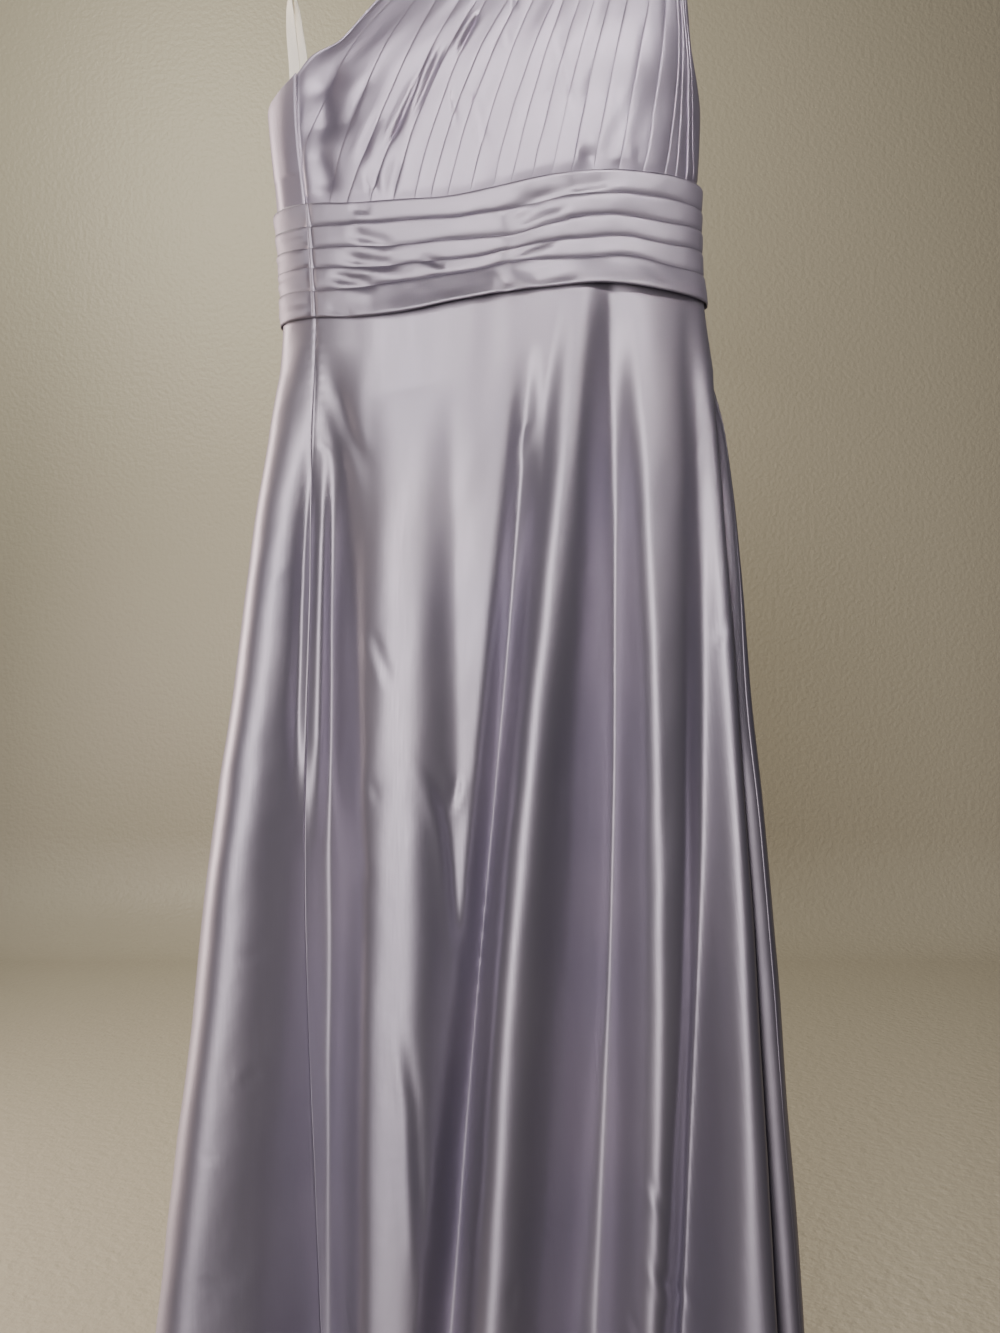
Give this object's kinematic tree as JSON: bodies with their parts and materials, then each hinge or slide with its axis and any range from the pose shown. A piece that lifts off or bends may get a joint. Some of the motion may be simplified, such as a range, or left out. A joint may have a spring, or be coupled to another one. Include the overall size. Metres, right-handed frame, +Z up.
{
  "type": "formal dress on a hanger",
  "caption": "One-shoulder floor-length satin formal dress with a pleated bodice, a tucked waistband and an A-line skirt, hanging from a plain dress hanger.",
  "frame": {"origin": "highest point of the space inside the hanger's hook, where a rail lies", "axes": "+X to the viewer's right as in the picture, +Y away from the viewer, +Z up along the dress"},
  "size_m": [0.5675, 0.2313, 1.5978],
  "materials": {
    "satin_skirt": "dusty lavender satin with a soft vertical sheen",
    "satin_bodice": "pale lavender satin in knife pleats",
    "satin_band": "dusty lavender satin turned across the grain, in tucks",
    "ribbon_satin": "cream-white satin ribbon",
    "hanger_plastic": "white moulded plastic",
    "hook_wire": "plated steel wire"
  },
  "bodies": {
    "root": {"bodice_front": "satin_bodice", "bodice_back": "satin_bodice", "waistband_front": "satin_band", "waistband_back": "satin_band", "skirt_front": "satin_skirt", "skirt_back": "satin_skirt", "hanger_loop": "ribbon_satin", "hanger": "hanger_plastic", "hanger_hook": "hook_wire"}
  },
  "joints": []
}
